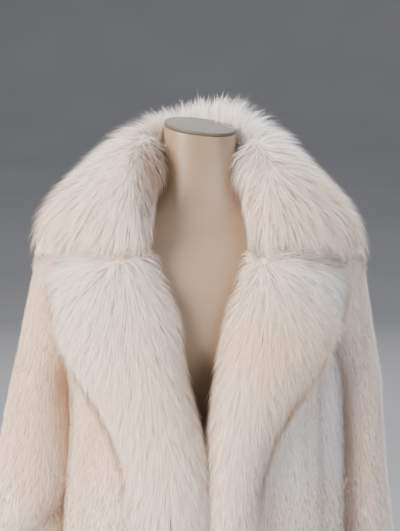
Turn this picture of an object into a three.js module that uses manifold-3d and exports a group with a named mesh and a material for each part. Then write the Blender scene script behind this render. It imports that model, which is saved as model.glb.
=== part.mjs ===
// A long-haired fur coat, worn open at the neck, on a limbless dress form with a round base.
// Units are millimetres. +Z is up, the coat faces -Y, and the origin is under the middle of the base.
// Left and right are the wearer's: the right sleeve is on the -X side.
import * as THREE from "three";
import { mergeVertices } from "three/addons/utils/BufferGeometryUtils.js";
import Module from "manifold-3d";

const wasm = await Module();
wasm.setup();
const { Manifold } = wasm;

// Driving dimensions
const NECK_TOP = 1480; // height of the form's cut neck
const HEM = 380; // height of the coat's hem
const CUFF = 760; // height of the sleeves' lower edges
const BODY_PILE = 12; // short fur on its leather, in the panels and the sleeves
const SEAM = 0.3; // gap between pieces that meet
const SEAT = 0.6; // gap between the coat and the form's shoulders
const SIDE_SEAM_Y = 4; // the plane that parts the back from the fronts
const CAP_THICKNESS = 5;
const CAP_TILT = { sideways: -0.115, forward: 0.1 }; // slopes of the cut neck
const BASE = { radius: 185, height: 9, hub: 34, hubHeight: 24 };
const POLE_RADIUS = 14;
const FORM_BOTTOM = 800;

const BODY_POINTS = 44; // round a ring of the body
const SLEEVE_POINTS = 24;
const FORM_POINTS = 28;
const PALETTE = {
  shortFur: 0xe9ddd0,
  longFur: 0xf0e8df,
  form: 0xd8bfa4,
  cap: 0xb9b2a8,
  steel: 0xc9c9c6,
};

// The form, from its lower edge to the cut neck: half width, half depths in front and behind.
const FORM_ROWS = [
  { z: FORM_BOTTOM, side: 150, front: 104, back: 112 },
  { z: 870, side: 166, front: 112, back: 122 },
  { z: 950, side: 146, front: 102, back: 102 },
  { z: 1020, side: 126, front: 94, back: 86 },
  { z: 1100, side: 132, front: 104, back: 90 },
  { z: 1180, side: 146, front: 122, back: 98 },
  { z: 1250, side: 160, front: 108, back: 98 },
  { z: 1305, side: 170, front: 84, back: 84 },
  { z: 1334, side: 158, front: 68, back: 70 },
  { z: 1354, side: 118, front: 61, back: 63 },
  { z: 1370, side: 84, front: 57, back: 60 },
  { z: 1392, side: 62, front: 54, back: 57 },
  { z: 1425, side: 54, front: 52, back: 54 },
  { z: NECK_TOP - 16, side: 52.5, front: 53, back: 53 },
];

// Where the coat rests on the form's shoulders, just clear of them.
const SHOULDER_ROWS = FORM_ROWS.slice(7, 12).map((row) => ({
  z: row.z + SEAT,
  x: 0,
  y: 0,
  side: row.side + SEAT,
  front: row.front + SEAT,
  back: row.back + SEAT,
  flute: 0,
}));
// The skin side of the coat's body, from the hem to the neck seam: the middle of each level
// ring, its half width and its half depths, and how deep the folds are there.
const BODY_ROWS = [
  { z: HEM, x: 3, y: -8, side: 272, front: 200, back: 222, flute: 14 },
  { z: 470, x: 3, y: -10, side: 257, front: 189, back: 211, flute: 12 },
  { z: 580, x: 4, y: -13, side: 238, front: 174, back: 198, flute: 9.5 },
  { z: 690, x: 5, y: -16, side: 222, front: 159, back: 186, flute: 7 },
  { z: 780, x: 5, y: -19, side: 211, front: 148, back: 176, flute: 4 },
  { z: 870, x: 6, y: -22, side: 204, front: 138, back: 168, flute: 1.5 },
  { z: 950, x: 9, y: -24, side: 200, front: 130, back: 161, flute: 0 },
  { z: 1030, x: 11, y: -25, side: 194, front: 123, back: 154, flute: 0 },
  { z: 1080, x: 10, y: -24, side: 193, front: 121, back: 149, flute: 0 },
  { z: 1130, x: 5, y: -22, side: 194, front: 121, back: 142, flute: 0 },
  { z: 1190, x: 2, y: -14, side: 186, front: 119, back: 126, flute: 0 },
  { z: 1250, x: 0, y: -4, side: 177, front: 109, back: 107, flute: 0 },
  ...SHOULDER_ROWS,
];
const FLUTES = 9; // soft folds round the hem

// Sleeves: the middle and the half sizes of the skin side at each height.
const SLEEVE_ROWS = {
  right: [
    { z: CUFF, x: 294, y: 14, side: 54, depth: 60 },
    { z: 830, x: 280.5, y: 16, side: 54.5, depth: 62 },
    { z: 900, x: 266.5, y: 18, side: 54.5, depth: 63 },
    { z: 970, x: 252, y: 20, side: 54, depth: 64 },
    { z: 1040, x: 245.5, y: 22, side: 47.5, depth: 65 },
    { z: 1085, x: 242, y: 22, side: 40, depth: 66 },
    { z: 1125, x: 233, y: 21, side: 39, depth: 67 },
    { z: 1170, x: 212, y: 16, side: 50, depth: 69 },
    { z: 1235, x: 189.5, y: 8, side: 57.5, depth: 69 },
    { z: 1280, x: 176.5, y: 4, side: 59.5, depth: 62 },
    { z: 1312, x: 162, y: 2, side: 44, depth: 48 },
    { z: 1330, x: 156, y: 1, side: 26, depth: 28 },
  ],
  left: [
    { z: CUFF, x: 270, y: 22, side: 38, depth: 72 },
    { z: 830, x: 261, y: 24, side: 37, depth: 73 },
    { z: 900, x: 252.5, y: 26, side: 36.5, depth: 74 },
    { z: 970, x: 246.5, y: 28, side: 33.5, depth: 74 },
    { z: 1040, x: 241.5, y: 28, side: 32.5, depth: 74 },
    { z: 1085, x: 239.5, y: 27, side: 31, depth: 74 },
    { z: 1125, x: 231.5, y: 24, side: 32, depth: 73 },
    { z: 1170, x: 208.5, y: 18, side: 46.5, depth: 71 },
    { z: 1235, x: 188.5, y: 9, side: 54.5, depth: 69 },
    { z: 1280, x: 176, y: 5, side: 59, depth: 62 },
    { z: 1312, x: 163, y: 3, side: 43, depth: 48 },
    { z: 1330, x: 156, y: 2, side: 26, depth: 28 },
  ],
};

// Largest folds of the sleeves: a soft trough round part of the tube. Angle 0 is in front and
// 90 is outward; rise is how far the trough climbs for each degree away from that angle.
const SLEEVE_FOLDS = [
  { sleeve: "right", z: 886, angle: -25, reach: 80, rise: -0.63, width: 17, depth: 12 },
  { sleeve: "right", z: 1010, angle: 170, reach: 60, rise: 0.25, width: 24, depth: 7 },
  { sleeve: "left", z: 1020, angle: -30, reach: 60, rise: 0.3, width: 22, depth: 6 },
  { sleeve: "left", z: 905, angle: 160, reach: 70, rise: -0.35, width: 20, depth: 8 },
];

const PLACES_IN_FOLDS = [1.25, 1.5, 1.75, 2.25, 2.5, 2.75, 3.5]; // between the rows of a sleeve

// The fur trim on each front: x of its front edge and of its outer edge, and how thick it is.
const LAPEL_ROWS = {
  right: [
    { z: HEM - 2, edge: 13.4, outer: -100, thick: 27 },
    { z: 560, edge: 13.4, outer: -102, thick: 28 },
    { z: 760, edge: 13.4, outer: -106, thick: 29 },
    { z: 900, edge: 13.4, outer: -110, thick: 31 },
    { z: 950, edge: 13.4, outer: -110, thick: 32 },
    { z: 985, edge: 12.8, outer: -112, thick: 33 },
    { z: 1020, edge: 10, outer: -120, thick: 35 },
    { z: 1063, edge: 1, outer: -140, thick: 37 },
    { z: 1105, edge: -11, outer: -165, thick: 39 },
    { z: 1150, edge: -22, outer: -191, thick: 41 },
    { z: 1195, edge: -28, outer: -209, thick: 42 },
    { z: 1235, edge: -32, outer: -215, thick: 43 },
    { z: 1264, edge: -45, outer: -210, thick: 43 },
    { z: 1290, edge: -59, outer: -194, thick: 42 },
    { z: 1308, edge: -68, outer: -168, thick: 42 },
    { z: 1322, edge: -74, outer: -132, thick: 38 },
  ],
  left: [
    { z: HEM - 2, edge: 14.4, outer: 84, thick: 27 },
    { z: 560, edge: 14.4, outer: 84, thick: 28 },
    { z: 760, edge: 14.4, outer: 85, thick: 29 },
    { z: 900, edge: 14.4, outer: 86, thick: 31 },
    { z: 950, edge: 14.4, outer: 86, thick: 32 },
    { z: 985, edge: 14.4, outer: 89, thick: 33 },
    { z: 1020, edge: 14.4, outer: 97, thick: 35 },
    { z: 1063, edge: 14.6, outer: 115, thick: 37 },
    { z: 1105, edge: 18.5, outer: 141, thick: 39 },
    { z: 1150, edge: 25, outer: 173, thick: 41 },
    { z: 1195, edge: 31, outer: 199, thick: 42 },
    { z: 1235, edge: 38, outer: 207, thick: 43 },
    { z: 1262, edge: 50, outer: 204, thick: 43 },
    { z: 1284, edge: 61, outer: 190, thick: 41 },
    { z: 1300, edge: 68, outer: 165, thick: 42 },
    { z: 1314, edge: 73, outer: 130, thick: 38 },
  ],
};
const NECK_OPENING = 74; // half the width between the fronts' edges beside the neck
const CLOSING = { x: 13.9, z: 1000 }; // where the fronts meet, and the lowest point of the opening
const LAPEL_SPREAD = 74; // how much wider than the body the lapels' bed is at the chest
const LAPEL_TOP_ROUNDING = 34; // height over which a lapel's top thins out
const LAPEL_ABOVE_GORGE = 18; // how much higher the whole lapel would reach
const EDGE_TUCK = 5; // how far a front's edge lies inside its lapel's edge

// The collar's inner edge from the middle of the back to the notch, with the way it opens there
// (0 is backward, 90 sideways), how far its height leans forward, which section it has, and how
// much lower it hangs on each side.
const COLLAR_PATH = [
  { at: 0, x: 0, y: 66, z: 1394, azimuth: 0, lean: 0, section: 0, rightDrop: 0, leftDrop: 0 },
  { at: 0.16, x: 36, y: 55, z: 1394, azimuth: 30, lean: 0, section: 0.3, rightDrop: 3, leftDrop: -3 },
  { at: 0.3, x: 57, y: 32, z: 1397, azimuth: 60, lean: 0, section: 0.65, rightDrop: 6, leftDrop: 1 },
  { at: 0.45, x: 63, y: 2, z: 1398, azimuth: 88, lean: 4, section: 1, rightDrop: 4, leftDrop: 9 },
  { at: 0.6, x: 66, y: -32, z: 1392, azimuth: 90, lean: 18, section: 1.25, rightDrop: 1, leftDrop: 13 },
  { at: 0.75, x: 69, y: -66, z: 1372, azimuth: 84, lean: 38, section: 1.55, rightDrop: 0, leftDrop: 10 },
  { at: 0.88, x: 71, y: -92, z: 1344, azimuth: 77, lean: 54, section: 1.8, rightDrop: 0, leftDrop: 4 },
  { at: 1, x: 71, y: -108, z: 1313, azimuth: 73, lean: 60, section: 2, rightDrop: 0, leftDrop: 0 },
  { at: 1.1, x: 71, y: -116, z: 1286, azimuth: 72, lean: 64, section: 2, rightDrop: 0, leftDrop: 0 },
];
// Sections of the collar at the back (0), over the shoulder (1) and at the notch (2): points
// round it, outward and up from the inner edge. The last three lie inside the coat and are cut off.
const COLLAR_SECTIONS = [
  { backOut: 0, backUp: -4, sideOut: 0, sideUp: -8, notchOut: 2, notchUp: -8 },
  { backOut: -7, backUp: 30, sideOut: -8, sideUp: 22, notchOut: -4, notchUp: 12 },
  { backOut: -7, backUp: 64, sideOut: -10, sideUp: 50, notchOut: -1, notchUp: 30 },
  { backOut: 5, backUp: 92, sideOut: 4, sideUp: 74, notchOut: 14, notchUp: 44 },
  { backOut: 28, backUp: 104, sideOut: 32, sideUp: 85, notchOut: 38, notchUp: 52 },
  { backOut: 54, backUp: 90, sideOut: 70, sideUp: 70, notchOut: 72, notchUp: 56 },
  { backOut: 76, backUp: 54, sideOut: 108, sideUp: 36, notchOut: 106, notchUp: 54 },
  { backOut: 90, backUp: 6, sideOut: 145, sideUp: -6, notchOut: 136, notchUp: 44 },
  { backOut: 97, backUp: -46, sideOut: 174, sideUp: -52, notchOut: 157, notchUp: 26 },
  { backOut: 98, backUp: -96, sideOut: 188, sideUp: -92, notchOut: 167, notchUp: -14 },
  { backOut: 88, backUp: -124, sideOut: 183, sideUp: -118, notchOut: 163, notchUp: -66 },
  { backOut: 62, backUp: -120, sideOut: 158, sideUp: -130, notchOut: 132, notchUp: -80 },
  { backOut: 30, backUp: -84, sideOut: 96, sideUp: -106, notchOut: 80, notchUp: -60 },
  { backOut: 10, backUp: -40, sideOut: 36, sideUp: -58, notchOut: 34, notchUp: -34 },
];
const COLLAR_STATIONS = 20; // on each side of the middle
const COLLAR_END_ROUNDING = 0.3; // share of the path over which the end thins out
const GORGE = { inner: 71, z: 1313, slope: 0.13 }; // the seam between the collar and the lapels

const FRONT_POWER = 0.9;
const radians = THREE.MathUtils.degToRad;

// Value of a column at a place between the rows, on a smooth curve through them.
function between(rows, key, place) {
  const last = rows.length - 1;
  const i = Math.min(Math.max(Math.floor(place), 0), last - 1);
  const t = place - i;
  const [a, b, c, d] = [-1, 0, 1, 2].map((k) => rows[Math.min(Math.max(i + k, 0), last)][key]);
  const slopeB = i > 0 ? (c - a) / 2 : c - b;
  const slopeC = i + 2 <= last ? (d - b) / 2 : c - b;
  const t2 = t * t;
  const t3 = t2 * t;
  return (2 * t3 - 3 * t2 + 1) * b + (t3 - 2 * t2 + t) * slopeB
    + (3 * t2 - 2 * t3) * c + (t3 - t2) * slopeC;
}

// The place among the rows where a rising column has the given value.
function placeOf(rows, key, value) {
  let low = 0;
  let high = rows.length - 1;
  for (let step = 0; step < 40; step++) {
    const middle = (low + high) / 2;
    if (between(rows, key, middle) < value) low = middle;
    else high = middle;
  }
  return (low + high) / 2;
}

function middleOf(ring) {
  return ring.reduce((sum, p) => sum.add(p), new THREE.Vector3()).divideScalar(ring.length);
}

// A closed solid from rings with equally many points, each end filled round its middle.
function loft(rings) {
  const count = rings[0].length;
  const points = rings.flat();
  const triangles = [];
  for (let r = 0; r + 1 < rings.length; r++) {
    for (let k = 0; k < count; k++) {
      const a = r * count + k;
      const b = r * count + (k + 1) % count;
      triangles.push(a, b, b + count, a, b + count, a + count);
    }
  }
  const first = points.push(middleOf(rings[0])) - 1;
  const last = points.push(middleOf(rings.at(-1))) - 1;
  const top = (rings.length - 1) * count;
  for (let k = 0; k < count; k++) {
    const next = (k + 1) % count;
    triangles.push(first, next, k);
    triangles.push(last, top + k, top + next);
  }
  return solidOf(points, triangles);
}

function solidOf(points, triangles) {
  const build = (order) => new Manifold(new wasm.Mesh({
    numProp: 3,
    vertProperties: new Float32Array(points.flatMap((p) => [p.x, p.y, p.z])),
    triVerts: new Uint32Array(order),
  }));
  const made = build(triangles);
  if (made.volume() > 0) return made;
  return build(triangles.slice().reverse());
}

// A three.js geometry as a solid.
function fromGeometry(geometry) {
  const plain = geometry.clone();
  plain.deleteAttribute("normal");
  plain.deleteAttribute("uv");
  const merged = mergeVertices(plain, 1e-4);
  const position = merged.attributes.position;
  const points = Array.from({ length: position.count }, (_, i) =>
    new THREE.Vector3().fromBufferAttribute(position, i));
  return solidOf(points, Array.from(merged.index.array));
}

// A prism along Y over an outline of [x, z] points.
function prism(outline, yFrom, yTo) {
  const shape = new THREE.Shape(outline.map(([x, z]) => new THREE.Vector2(x, z)));
  const geometry = new THREE.ExtrudeGeometry(shape, { depth: yTo - yFrom, bevelEnabled: false });
  geometry.rotateX(Math.PI / 2);
  geometry.translate(0, yTo, 0);
  return fromGeometry(geometry);
}

function block(low, high) {
  const size = high.map((value, i) => value - low[i]);
  const geometry = new THREE.BoxGeometry(...size);
  geometry.translate(...low.map((value, i) => value + size[i] / 2));
  return fromGeometry(geometry);
}

function largest(solid) {
  return solid.decompose().sort((a, b) => b.volume() - a.volume())[0];
}

// Point of an oval ring: angle 0 is in front and 90 degrees is towards +X. A power under 1 makes
// the oval squarer.
function ovalPoint(angle, side, front, back, z, backPower = FRONT_POWER) {
  const s = Math.sin(angle);
  const c = Math.cos(angle);
  const inFront = THREE.MathUtils.smoothstep(c, -0.3, 0.3);
  const power = THREE.MathUtils.lerp(backPower, FRONT_POWER, inFront);
  const depth = c > 0 ? front : back;
  const x = side * Math.sign(s) * Math.abs(s) ** power;
  return new THREE.Vector3(x, -depth * Math.sign(c) * Math.abs(c) ** power, z);
}

// Moves a surface's points out along its own normals.
function movedOut(surface, angle, place, distance) {
  const point = surface(angle, place);
  if (distance === 0) return point;
  const step = 1e-3;
  const round = surface(angle + step, place).sub(surface(angle - step, place));
  const along = surface(angle, place + step).sub(surface(angle, place - step));
  return point.addScaledVector(round.cross(along).normalize(), distance);
}

function ringsOf(surface, places, count, distance) {
  return places.map((place) => Array.from({ length: count }, (_, k) =>
    movedOut(surface, (k / count) * 2 * Math.PI, place, distance)));
}

function raised(ring, height) {
  return ring.map((p) => p.clone().setZ(p.z + height));
}

// Dress form
function formSurface(angle, place) {
  const [side, front, back, z] = ["side", "front", "back", "z"]
    .map((key) => between(FORM_ROWS, key, place));
  return ovalPoint(angle, side, front, back, z);
}

function tilted(point) {
  const slope = point.x * CAP_TILT.sideways + point.y * CAP_TILT.forward;
  return point.clone().setZ(point.z + slope);
}

// The form grown by a distance, as a cutter for what lies on it.
function formCutter(distance) {
  const rings = ringsOf(formSurface, [...FORM_ROWS.keys()], FORM_POINTS, distance);
  return loft([...rings, raised(rings.at(-1), 80)]);
}

function makeForm() {
  const rings = ringsOf(formSurface, [...FORM_ROWS.keys()], FORM_POINTS, 0);
  const neck = rings.at(-1);
  const top = neck.map((p) => tilted(p.clone().setZ(NECK_TOP - CAP_THICKNESS - SEAM)));
  const lower = neck.map((p) => tilted(p.clone().setZ(NECK_TOP - CAP_THICKNESS)));
  const upper = neck.map((p) => tilted(p.clone().setZ(NECK_TOP - 1)));
  const rim = neck.map((p) => tilted(new THREE.Vector3(p.x * 0.975, p.y * 0.975, NECK_TOP)));
  return { torso: loft([...rings, top]), cap: loft([lower, upper, rim]) };
}

function makeStand() {
  const profile = [
    [0, 0],
    [BASE.radius - 3, 0],
    [BASE.radius, 3],
    [BASE.radius, BASE.height - 3],
    [BASE.radius - 4, BASE.height],
    [BASE.hub + 6, BASE.height + 3],
    [BASE.hub, BASE.height + 6],
    [BASE.hub - 6, BASE.hubHeight],
    [0, BASE.hubHeight],
  ].map(([r, z]) => new THREE.Vector2(r, z));
  const plate = new THREE.LatheGeometry(profile, 48);
  plate.rotateX(Math.PI / 2);
  const low = BASE.hubHeight + SEAM;
  const high = FORM_BOTTOM - SEAM;
  const pole = new THREE.CylinderGeometry(POLE_RADIUS, POLE_RADIUS, high - low, 24);
  pole.rotateX(Math.PI / 2);
  pole.translate(0, 0, (low + high) / 2);
  return { base: fromGeometry(plate), pole: fromGeometry(pole) };
}

// Body of the coat
function bodySurface(angle, place) {
  const [x, y, z, side, front, back, flute] = ["x", "y", "z", "side", "front", "back", "flute"]
    .map((key) => between(BODY_ROWS, key, place));
  const wave = Math.cos(FLUTES * angle + 1.3 * Math.sin(angle) + 0.7 * Math.sin(3 * angle));
  const swell = 1 + (flute * wave) / side;
  const sleevesBehind = THREE.MathUtils.smoothstep(z, CUFF - 200, 1000)
    * (1 - THREE.MathUtils.smoothstep(z, 1130, 1250));
  const backPower = FRONT_POWER + 0.3 * sleevesBehind;
  const point = ovalPoint(angle, side * swell, front * swell, back * swell, z, backPower);
  return point.add(new THREE.Vector3(x, y, 0));
}

// The body's outline moved out by a distance, and drawn out past its ends.
function bodySolid(distance, ends) {
  const rings = ringsOf(bodySurface, [...BODY_ROWS.keys()], BODY_POINTS, distance);
  if (ends) {
    rings.unshift(raised(rings[0], -ends));
    rings.push(raised(rings.at(-1), ends));
  }
  return loft(rings);
}

// Sleeves
function sleeveSurface(name) {
  const rows = SLEEVE_ROWS[name];
  const mirror = name === "right" ? -1 : 1;
  return (angle, place) => {
    const [x, y, side, depth, z] = ["x", "y", "side", "depth", "z"]
      .map((key) => between(rows, key, place));
    let squeeze = 0;
    for (const fold of SLEEVE_FOLDS.filter((f) => f.sleeve === name)) {
      const outward = mirror * THREE.MathUtils.radToDeg(angle);
      const away = THREE.MathUtils.euclideanModulo(outward - fold.angle + 180, 360) - 180;
      const off = (z - fold.z - away * fold.rise) / fold.width;
      const fade = Math.cos(Math.min(Math.abs(away) / fold.reach, 1) * Math.PI / 2) ** 2;
      squeeze += fold.depth * fade * Math.exp(-off * off);
    }
    const point = ovalPoint(angle, side - squeeze, depth - squeeze, depth - squeeze, z);
    return point.add(new THREE.Vector3(mirror * x, y, 0));
  };
}

function sleeveSolid(name, distance, ends) {
  const rows = SLEEVE_ROWS[name];
  const places = [...rows.keys(), ...PLACES_IN_FOLDS].sort((a, b) => a - b);
  const rings = ringsOf(sleeveSurface(name), places, SLEEVE_POINTS, distance);
  const top = rings.at(-1);
  const middle = middleOf(top);
  rings.push(top.map((p) => p.clone().lerp(middle, 0.5).setZ(p.z + 3)));
  if (ends) rings.unshift(raised(rings[0], -ends));
  return loft(rings);
}

// The opening between the lapels, as an outline in front view, wider by the given amount.
function openingOutline(extra) {
  const above = (row) => row.z > CLOSING.z;
  return [
    [CLOSING.x, CLOSING.z],
    ...LAPEL_ROWS.left.filter(above).map((row) => [row.edge + extra, row.z]),
    [NECK_OPENING + extra, 1600],
    [-NECK_OPENING - extra, 1600],
    ...LAPEL_ROWS.right.filter(above).map((row) => [row.edge - extra, row.z]).reverse(),
  ];
}

function makeBodyPanels(bodyOuter, sleeveInners) {
  const shell = Manifold.difference([bodyOuter, bodySolid(0, 60), ...sleeveInners]);
  const far = 700;
  const back = shell.intersect(block([-far, SIDE_SEAM_Y + SEAM / 2, 0], [far, far, 2000]));
  const opening = prism(openingOutline(EDGE_TUCK), -far, SIDE_SEAM_Y);
  const fronts = shell.intersect(block([-far, -far, 0], [far, SIDE_SEAM_Y - SEAM / 2, 2000]))
    .subtract(opening);
  const right = fronts.intersect(block([-far, -far, 0], [CLOSING.x - SEAM / 2, far, 2000]));
  const left = fronts.intersect(block([CLOSING.x + SEAM / 2, -far, 0], [far, far, 2000]));
  return { back: largest(back), right: largest(right), left: largest(left) };
}

// Depth in front of the surface that a lapel lies on, at a height and a distance from the middle.
// Over the chest it is wider than the body, as the lapels lie over the tops of the sleeves there.
function frontDepth(x, z) {
  const place = placeOf(BODY_ROWS, "z", z);
  const overSleeve = THREE.MathUtils.smoothstep(z, 1080, 1220);
  const side = between(BODY_ROWS, "side", place) + BODY_PILE + overSleeve * LAPEL_SPREAD;
  const front = between(BODY_ROWS, "front", place) + BODY_PILE;
  const share = Math.min(Math.abs(x - between(BODY_ROWS, "x", place)) / side, 0.995);
  return front * (1 - share ** 2.2) ** (1 / 2.2) - between(BODY_ROWS, "y", place);
}

// A lapel: level sections from the hem up, plump in the middle and thin at both edges.
function makeLapel(name, cutters, gorge) {
  const rows = LAPEL_ROWS[name];
  const across = 10; // facets over the lapel's width
  const inside = 30; // how far the raw section reaches into the body before it is cut off
  const topZ = rows.at(-1).z;
  const rings = rows.map(({ z, edge, outer, thick }) => {
    const below = Math.min((topZ + LAPEL_ABOVE_GORGE - z) / LAPEL_TOP_ROUNDING, 1);
    const height = thick * Math.sqrt(1 - (1 - below) ** 2);
    const front = [];
    const behind = [];
    for (let k = 0; k <= across; k++) {
      const share = (1 - Math.cos((k / across) * Math.PI)) / 2;
      const x = edge + (outer - edge) * share;
      const plump = (1 - Math.abs(2 * share - 1) ** 2.6) ** 0.5;
      const depth = frontDepth(x, z);
      front.push(new THREE.Vector3(x, -depth - height * (0.12 + 0.88 * plump), z));
      behind.push(new THREE.Vector3(x, -depth + inside, z));
    }
    return [...front, ...behind.reverse()];
  });
  return largest(Manifold.difference([loft(rings), ...cutters]).intersect(gorge.below));
}

// The collar: a closed section carried round the neck from notch to notch.
function collarRing(place, mirror) {
  const [x, y, z, azimuth, lean, section] = ["x", "y", "z", "azimuth", "lean", "section"]
    .map((key) => between(COLLAR_PATH, key, place));
  const out = new THREE.Vector3(Math.sin(radians(azimuth)), Math.cos(radians(azimuth)), 0);
  const up = new THREE.Vector3(0, -Math.sin(radians(lean)), Math.cos(radians(lean)));
  const drop = between(COLLAR_PATH, mirror < 0 ? "rightDrop" : "leftDrop", place);
  const at = between(COLLAR_PATH, "at", place);
  const end = COLLAR_PATH.at(-1).at;
  const intoEnd = THREE.MathUtils.clamp((at - end) / COLLAR_END_ROUNDING + 1, 0, 1);
  const plump = 0.25 + 0.75 * Math.sqrt(1 - intoEnd ** 2);
  const mix = (row, part) => {
    const values = [row["back" + part], row["side" + part], row["notch" + part]];
    const i = Math.min(Math.floor(section), 1);
    return THREE.MathUtils.lerp(values[i], values[i + 1], section - i);
  };
  return COLLAR_SECTIONS.map((row) => {
    const height = mix(row, "Up");
    const point = new THREE.Vector3(x, y, z - drop).addScaledVector(out, mix(row, "Out"));
    if (height > 0) point.addScaledVector(up, height * plump);
    else point.z += height;
    point.x *= mirror;
    return point;
  });
}

function makeCollar(cutters, gorge) {
  const rows = COLLAR_PATH.length - 1;
  const rings = [];
  for (let k = -COLLAR_STATIONS; k <= COLLAR_STATIONS; k++) {
    rings.push(collarRing((Math.abs(k) / COLLAR_STATIONS) * rows, k < 0 ? -1 : 1));
  }
  return largest(Manifold.difference([loft(rings), ...cutters]).intersect(gorge.above));
}

// Everything above and everything below the gorge seam; behind the shoulders the collar's part
// reaches lower.
function gorgeBlocks() {
  const far = 420;
  const drop = (far - GORGE.inner) * GORGE.slope;
  const line = (offset) => [
    [-far, GORGE.z - drop + offset],
    [-GORGE.inner, GORGE.z + offset],
    [GORGE.inner, GORGE.z + offset],
    [far, GORGE.z - drop + offset],
  ];
  const above = prism([...line(SEAM / 2), [far, 1700], [-far, 1700]], -far, 0);
  const sideView = [[-58, 1700], [-58, 1325], [-50, 1300], [0, 1256], [far, 1150], [far, 1700]];
  const behind = loft([-far, far].map((x) =>
    sideView.map(([y, z]) => new THREE.Vector3(x, y, z))));
  const below = prism([[-far, 200], [far, 200], ...line(-SEAM / 2).reverse()], -far, far);
  return { above: above.add(behind), below };
}

function toMesh(name, solid, color, roughness, metalness = 0) {
  const { numProp, vertProperties, triVerts, numVert } = solid.getMesh();
  const positions = new Float32Array(numVert * 3);
  for (let i = 0; i < numVert; i++) {
    positions.set(vertProperties.subarray(i * numProp, i * numProp + 3), i * 3);
  }
  const geometry = new THREE.BufferGeometry();
  geometry.setAttribute("position", new THREE.BufferAttribute(positions, 3));
  geometry.setIndex(new THREE.BufferAttribute(new Uint32Array(triVerts), 1));
  geometry.computeVertexNormals();
  const material = new THREE.MeshStandardMaterial({ color, roughness, metalness });
  const mesh = new THREE.Mesh(geometry, material);
  mesh.name = name;
  return mesh;
}

const bodyOuter = bodySolid(BODY_PILE, 0);
const bodyGrown = bodySolid(BODY_PILE + SEAM, 40);
const sleeveInners = ["right", "left"].map((name) => sleeveSolid(name, 0, 60));
const sleeveOuters = ["right", "left"].map((name) => sleeveSolid(name, BODY_PILE, 0));
const sleevesGrown = ["right", "left"].map((name) => sleeveSolid(name, BODY_PILE + SEAM, 0));
const form = makeForm();
const stand = makeStand();
const gorge = gorgeBlocks();
const panels = makeBodyPanels(bodyOuter, sleeveInners);
const sleeves = sleeveOuters.map((outer, i) =>
  largest(Manifold.difference([outer, sleeveInners[i], bodyGrown])));
const formGrown = formCutter(1);
const beds = [bodyGrown, formGrown, ...sleevesGrown];
const lapels = ["right", "left"].map((name) => makeLapel(name, beds, gorge));
const collar = makeCollar(beds, gorge);

const coat = new THREE.Group();
coat.add(
  toMesh("coat_back", panels.back, PALETTE.shortFur, 0.9),
  toMesh("coat_front_right", panels.right, PALETTE.shortFur, 0.9),
  toMesh("coat_front_left", panels.left, PALETTE.shortFur, 0.9),
  toMesh("sleeve_right", sleeves[0], PALETTE.shortFur, 0.9),
  toMesh("sleeve_left", sleeves[1], PALETTE.shortFur, 0.9),
  toMesh("collar", collar, PALETTE.longFur, 0.95),
  toMesh("lapel_right", lapels[0], PALETTE.longFur, 0.95),
  toMesh("lapel_left", lapels[1], PALETTE.longFur, 0.95),
);

const dressForm = new THREE.Group();
dressForm.add(
  toMesh("form_torso", form.torso, PALETTE.form, 0.5),
  toMesh("form_neck_cap", form.cap, PALETTE.cap, 0.6),
  toMesh("form_pole", stand.pole, PALETTE.steel, 0.3, 1),
  toMesh("form_base", stand.base, PALETTE.steel, 0.3, 1),
);

const root = new THREE.Group();
root.add(coat, dressForm);

export default root;
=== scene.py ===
import math

import bpy
import numpy as np
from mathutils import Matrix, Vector
from mathutils.bvhtree import BVHTree


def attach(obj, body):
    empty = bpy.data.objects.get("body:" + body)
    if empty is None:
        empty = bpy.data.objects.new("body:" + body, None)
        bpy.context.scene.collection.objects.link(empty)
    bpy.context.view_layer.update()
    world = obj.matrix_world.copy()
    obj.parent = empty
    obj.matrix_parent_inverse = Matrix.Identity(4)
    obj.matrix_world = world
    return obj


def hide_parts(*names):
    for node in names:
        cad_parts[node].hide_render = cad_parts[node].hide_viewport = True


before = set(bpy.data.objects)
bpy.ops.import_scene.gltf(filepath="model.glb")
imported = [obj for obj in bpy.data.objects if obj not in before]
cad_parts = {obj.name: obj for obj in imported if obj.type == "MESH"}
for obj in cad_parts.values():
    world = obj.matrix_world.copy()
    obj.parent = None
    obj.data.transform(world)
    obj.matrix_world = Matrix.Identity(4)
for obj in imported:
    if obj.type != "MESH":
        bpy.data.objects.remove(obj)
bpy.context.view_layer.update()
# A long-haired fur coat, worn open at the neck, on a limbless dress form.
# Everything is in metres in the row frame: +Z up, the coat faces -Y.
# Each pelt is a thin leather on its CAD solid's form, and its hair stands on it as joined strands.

IMAGE_HEIGHT = 531  # pixels of the photograph's frame
FOCAL_PIXELS = 1241  # the camera's focal length in those pixels
SENSOR = 36.0  # millimetres, over the frame's longer side

WALL = 0.012  # thickness of a short-haired pelt's solid
LEATHER = 0.0035
LONG_PILE = 0.018  # how deep the leather lies under the long hair's tips
BED_SHARE = 0.62  # the most of a trim's height over its bed that the leather sinks
TOUCHING = 0.006  # nodes this close lie against each other
CLOSE_BY = 0.02  # a pelt isn't sunk where another node is this close
COVERED = 0.003  # and no hair grows where one is this close
SEAM_REACH = 0.008  # how far a pelt's edge moves to meet the pelt sewn to it
SHORT_RISE = 0.007  # how high the short hair stands at least
NECK_RISE = 0.016  # how high the collar's hair stands toward the neck
LAPEL_TOP_RISE = 0.022  # how high it stands at the lapels' rounded tops
EDGE_RISE = 0.012  # how high it stands where a trim ends on the pelts
SHORT_VOXEL = 0.004
LONG_VOXEL = 0.005

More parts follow.
